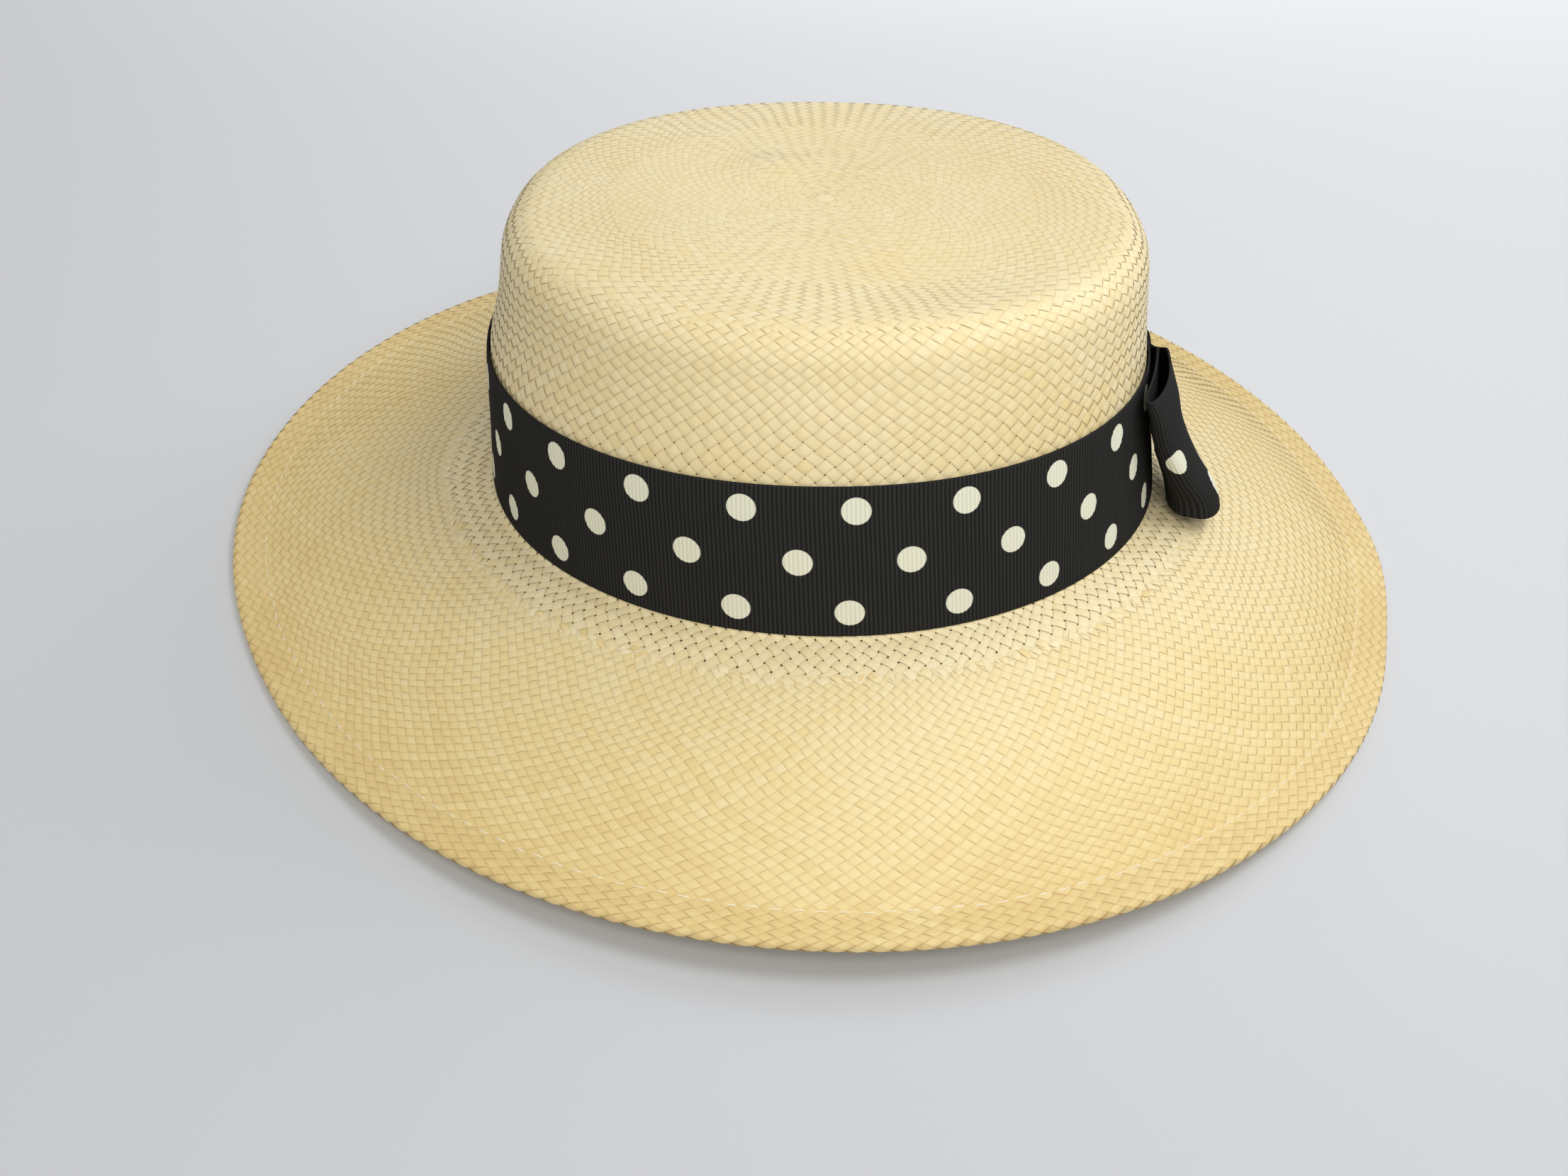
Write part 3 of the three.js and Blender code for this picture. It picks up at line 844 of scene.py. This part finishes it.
# Ribbon: band and bow
SELVEDGE = (0.3, 1.3)  # distances from the edge between which the ribs rise
RIB_STEP = RIB_PITCH / 4
BAND_MIDDLE = BAND_LIFT + RIBBON_WIDTH / 2
BAND_HALF_ROWS = [0, 0.4, 1, 3, 7, 12]
BAND_OTHER_ROWS = [RIBBON_WIDTH - row for row in BAND_HALF_ROWS[::-1]]
BAND_ROWS = np.array([*BAND_HALF_ROWS, RIBBON_WIDTH / 2, *BAND_OTHER_ROWS])
BAND_FACE = CLEARANCE + RIBBON_THICKNESS + CLEARANCE
BACK_AZIMUTH = -90.0  # the first dots are counted from the middle of the hat's back
BOW_INSET = 0.1 + LOOK_RIBBON / 2
LOOP_UPS = np.concatenate([[0, 0.01, 0.03], np.linspace(0.08, 0.92, 14), [0.97, 0.99, 1.0]])
LOOP_MEASURED_UP = 0.4  # place across the ribbon where a loop's length is measured
INWARD_PROBE = 0.4  # how far inward the normals of a loop are probed
UPPER_DOTS_FROM = 0.68
LOWER_DOTS_TO = 0.32
LOWER_DOTS_BETWEEN = (45.0, 68.0)  # lengths along a loop between which the lower row's dots show
BACK_LOOP_DOTS_START = 0.4
FRONT_LOOP_DOTS_START = 5.0
KNOT_DOTS_START = 8.0
KNOT_ROWS = np.linspace(-KNOT_LENGTH / 2, KNOT_LENGTH / 2, 13)
KNOT_FOLD = 0.12
KNOT_FOLDS = 2


def ribbon_ring(name, surface, length_mm, up_mm, printed):
    """Thin ribbed ribbon: surface holds columns along the ribbon by rows across it, and outward normals.

    printed is 1 where the outer face shows its dots. The inner face has none.
    """
    points, normals = surface
    columns, rows = points.shape[:2]
    selvedge = smooth(*SELVEDGE, np.minimum(up_mm - up_mm[0], up_mm[-1] - up_mm))
    rib_mm = np.broadcast_to(length_mm[:, rows // 2, None], (columns, rows))
    ribs = RIB_HEIGHT * np.sin(2 * np.pi * rib_mm / RIB_PITCH) * selvedge[None, :]
    outer = points + normals * (LOOK_RIBBON / 2 + ribs)[..., None]
    inner = points - normals * (LOOK_RIBBON / 2 - ribs)[..., None]
    both = np.concatenate([outer, inner[:, ::-1]], axis=1)
    wide = 2 * rows
    i = np.arange(columns)[:, None]
    j = np.arange(wide)[None, :]
    a = i * wide + j
    b = ((i + 1) % columns) * wide + j
    c = ((i + 1) % columns) * wide + (j + 1) % wide
    d = i * wide + (j + 1) % wide
    quads = np.stack([a, b, c, d], -1).reshape(-1, 4)
    ups = np.concatenate([up_mm, up_mm[::-1]])
    attributes = {
        "length_mm": np.concatenate([length_mm, length_mm[:, ::-1]], axis=1).ravel(),
        "up_mm": np.broadcast_to(ups[None, :], (columns, wide)).ravel(),
        "rib_mm": np.concatenate([rib_mm, rib_mm], axis=1).ravel(),
        "printed": np.concatenate([printed, 0 * printed], axis=1).ravel(),
    }
    return mesh_object(name, both.reshape(-1, 3), quads, attributes, RIBBON)


def grid_normals(points, outward):
    along = (np.roll(points, -1, axis=0) - np.roll(points, 1, axis=0)) / 2
    across = np.gradient(points, axis=1)
    normals = np.cross(along, across)
    normals /= np.linalg.norm(normals, axis=2, keepdims=True)
    flip = np.sign((normals * outward).sum())
    return normals * flip


def evenly(values_of, start, end, step):
    """Places between start and end that lie evenly along a curve, their lengths and the whole length."""
    dense = np.linspace(start, end, 6001)
    line = values_of(dense)
    run = np.concatenate([[0], np.cumsum(np.linalg.norm(np.diff(line, axis=0), axis=1))])
    count = int(round(run[-1] / step))
    lengths = np.arange(count) * run[-1] / count
    return np.interp(lengths, run, dense), lengths, run[-1]


def hat_band():
    out = CLEARANCE + LOOK_RIBBON / 2

    def middle_line(azimuth):
        return side_point(BAND_MIDDLE + 0 * azimuth, azimuth, out)

    azimuth, run, length = evenly(middle_line, BOW_AZIMUTH - 360, BOW_AZIMUTH, RIB_STEP)
    az, hh = np.meshgrid(azimuth, BAND_LIFT + BAND_ROWS, indexing="ij")
    points = placed(side_point(hh, az, out))
    centre = placed(np.array([0.0, 0.0, BAND_MIDDLE]))
    normals = grid_normals(points, points - centre)
    back = np.interp(BACK_AZIMUTH, azimuth, run)
    lengths = np.tile((run - back)[:, None], len(BAND_ROWS))
    obj = ribbon_ring("ribbon_band", (points, normals), lengths, BAND_ROWS, np.ones(az.shape))
    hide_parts("hat_band")
    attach(obj, "root")


def on_band(length, height, depth):
    _, half_length, _, _ = side_section(height, 0)
    azimuth = BOW_AZIMUTH + length / np.radians(half_length)
    return side_point(height, azimuth, BAND_FACE + depth)


def drop_outline(t, length, depth, tip_off, inset):
    turn = 2 * np.pi * t
    share = (1 - np.cos(turn)) / 2
    opened = smooth(*LOOP_OPENS, share)
    half = mix(LOOP_PINCH, depth, opened) / 2
    base = np.maximum(half, mix(KNOT_DEPTH / 2, half, opened))
    middle = np.maximum(base, mix(base, tip_off, smooth(*LOOP_SWINGS, share)))
    side = np.sign(-np.sin(turn)) * np.abs(np.sin(turn)) ** LOOP_SQUARENESS
    return mix(inset, length - inset, share), middle + side * (half - inset)


def loop_point(t, up, direction, fullness, inset):
    start = KNOT_LENGTH * LOOP_START
    held = (KNOT_HEIGHT - 2 * (RIBBON_THICKNESS + CLEARANCE)) * LOOP_HOLD
    reach = eased(LOOP_ROWS, "up", "reach", up) * LOOP_LENGTH - start
    full_depth = LOOP_DEPTH * fullness
    depth = eased(LOOP_ROWS, "up", "depth", up) * full_depth
    tip_off = eased(LOOP_ROWS, "up", "off", up) * full_depth
    run, out = drop_outline(t, reach, depth, tip_off, inset)
    free = smooth(LOOP_SPREADS[0] * KNOT_LENGTH, LOOP_SPREADS[1] * KNOT_LENGTH, run)
    hang = free * LOOP_DROP * out / LOOP_DEPTH
    height = BAND_MIDDLE + (up - 0.5) * mix(held, RIBBON_WIDTH, free) - hang
    return on_band(direction * (start + run), height, out)


def bow_loop(name, node, direction, fullness, dot_start):
    def measured_line(t):
        return loop_point(t, LOOP_MEASURED_UP, direction, fullness, BOW_INSET)

    places, _, length = evenly(measured_line, 0, 1, RIB_STEP)
    tt, uu = np.meshgrid(places, LOOP_UPS, indexing="ij")
    points = placed(loop_point(tt, uu, direction, fullness, BOW_INSET))
    inside = placed(loop_point(tt, uu, direction, fullness, BOW_INSET + INWARD_PROBE))
    normals = grid_normals(points, points - inside)
    steps = np.linalg.norm(np.diff(points, axis=0), axis=2)
    runs = np.concatenate([np.cumsum(steps[::-1], axis=0)[::-1], np.zeros((1, len(LOOP_UPS)))])
    shown = (runs > LOWER_DOTS_BETWEEN[0]) & (runs < LOWER_DOTS_BETWEEN[1])
    printed = 1.0 - (uu > UPPER_DOTS_FROM) - (uu < LOWER_DOTS_TO) * ~shown
    obj = ribbon_ring(name, (points, normals), runs + dot_start, LOOP_UPS * RIBBON_WIDTH, printed)
    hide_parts(node)
    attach(obj, "root")


def bow_knot():
    def sleeve(turn, run):
        half_depth, half_height = KNOT_DEPTH / 2 - BOW_INSET, KNOT_HEIGHT / 2 - BOW_INSET
        out, up = outline(half_depth, half_height, turn, KNOT_SQUARENESS)
        return on_band(run, BAND_MIDDLE + up, KNOT_DEPTH / 2 + out)

    turns, run, length = evenly(lambda turn: sleeve(turn, 0 * turn), 0, 360, RIB_STEP)
    tt, rr = np.meshgrid(turns, KNOT_ROWS, indexing="ij")
    points = sleeve(tt, rr)
    centre = on_band(rr, BAND_MIDDLE + 0 * rr, KNOT_DEPTH / 2 + 0 * rr)
    folds = KNOT_FOLD * np.cos(2 * np.pi * rr / KNOT_LENGTH * KNOT_FOLDS)
    outward = points - centre
    outward /= np.linalg.norm(outward, axis=2, keepdims=True)
    points = placed(points + outward * (folds[..., None] - KNOT_FOLD))
    normals = grid_normals(points, points - placed(centre))
    lengths = np.tile((run + KNOT_DOTS_START)[:, None], len(KNOT_ROWS))
    ups = KNOT_ROWS - KNOT_ROWS[0]
    obj = ribbon_ring("ribbon_knot", (points, normals), lengths, ups, np.ones(rr.shape))
    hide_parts("bow_knot")
    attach(obj, "root")


hat_band()
bow_loop("ribbon_back_loop", "bow_back_loop", -1, 1.0, BACK_LOOP_DOTS_START)
bow_loop("ribbon_front_loop", "bow_front_loop", 1, FRONT_LOOP_FULLNESS, FRONT_LOOP_DOTS_START)
bow_knot()


# Floor, light and camera, in metres
FLOOR_HALF = 6
FLOOR_RAMP_START = 0.3  # distance before the hat where the floor's ramp of painted shade and light starts
LIGHTS = [  # name, place, target, size, power, colour
    ("behind_camera", (0, -1.0, 0.9), (0, 0, 0.03), 0.8, 8.4, (1.0, 0.975, 0.92)),
    ("right_front", (0.8, 0.6, 0.8), (0, 0, 0.03), 0.8, 4.1, (0.98, 1.0, 1.05)),
    ("over_crown", (0.25, -0.15, 0.6), (0, 0, 0.05), 0.3, 1.3, (0.98, 1.0, 1.06)),
    ("far_floor", (-0.05, 1.1, 0.35), (-0.05, 1.09, 0), 0.4, 2.5, (1.0, 1.0, 1.0)),
]
WORLD_STRENGTH = 0.37
PHOTO_WIDTH_PX = 2212
FOCAL_LENGTH_PX = 2199.6
SENSOR_WIDTH_MM = 36
CAMERA_PLACE = (-0.0210, -0.37441, 0.24464)
CAMERA_FORWARD = np.array([0.0284, 0.8081, -0.5884])
CAMERA_RIGHT = np.array([0.9982, 0.0085, 0.0598])
CAMERA_UP = np.array([-0.0533, 0.5890, 0.8064])


def floor_material():
    """Pale floor with painted light: darker in front of the hat and brighter beyond it."""
    material, nodes, links, shader = new_material("floor")
    place = nodes.new("ShaderNodeNewGeometry")
    split = nodes.new("ShaderNodeSeparateXYZ")
    links.new(place.outputs["Position"], split.inputs["Vector"])
    # painted light: the floor gets lighter the farther it lies beyond the hat
    away = math_node(nodes, links, "ADD", split.outputs["Y"], FLOOR_RAMP_START)
    links.new(ramp(nodes, links, away, FLOOR_COLOURS_WITH_PAINTED_LIGHT), shader.inputs["Base Color"])
    shader.inputs["Roughness"].default_value = 0.9
    return material


def floor():
    corners = [(x * FLOOR_HALF, y * FLOOR_HALF, 0) for x, y in ((-1, -1), (1, -1), (1, 1), (-1, 1))]
    mesh = bpy.data.meshes.new("floor")
    mesh.from_pydata(corners, [], [(0, 1, 2, 3)])
    obj = bpy.data.objects.new("floor", mesh)
    obj.data.materials.append(floor_material())
    bpy.context.scene.collection.objects.link(obj)


def placed_matrix(right, up, back, place):
    columns = np.stack([right, up, back], 1)
    return Matrix([[*columns[r], place[r]] for r in range(3)] + [[0, 0, 0, 1]])


def area_light(name, place, target, size, power, colour):
    data = bpy.data.lights.new(name, "AREA")
    data.shape = "DISK"
    data.size = size
    data.energy = power
    data.color = colour
    obj = bpy.data.objects.new(name, data)
    back = np.array(place, float) - np.array(target, float)
    back /= np.linalg.norm(back)
    right = np.cross([0, 0, 1.0], back)
    right /= np.linalg.norm(right)
    obj.matrix_world = placed_matrix(right, np.cross(back, right), back, place)
    bpy.context.scene.collection.objects.link(obj)


def surroundings():
    world = bpy.data.worlds.new("world")
    bpy.context.scene.world = world
    world.use_nodes = True
    background = world.node_tree.nodes["Background"]
    background.inputs["Color"].default_value = (*WORLD_COLOUR, 1)
    background.inputs["Strength"].default_value = WORLD_STRENGTH


def camera():
    data = bpy.data.cameras.new("camera")
    data.sensor_width = SENSOR_WIDTH_MM
    data.lens = SENSOR_WIDTH_MM * FOCAL_LENGTH_PX / PHOTO_WIDTH_PX
    data.clip_start = 0.01
    data.clip_end = 20
    obj = bpy.data.objects.new("camera", data)
    obj.matrix_world = placed_matrix(CAMERA_RIGHT, CAMERA_UP, -CAMERA_FORWARD, CAMERA_PLACE)
    bpy.context.scene.collection.objects.link(obj)
    bpy.context.scene.camera = obj


floor()
for light in LIGHTS:
    area_light(*light)
surroundings()
camera()
bpy.context.scene.view_settings.view_transform = "Standard"
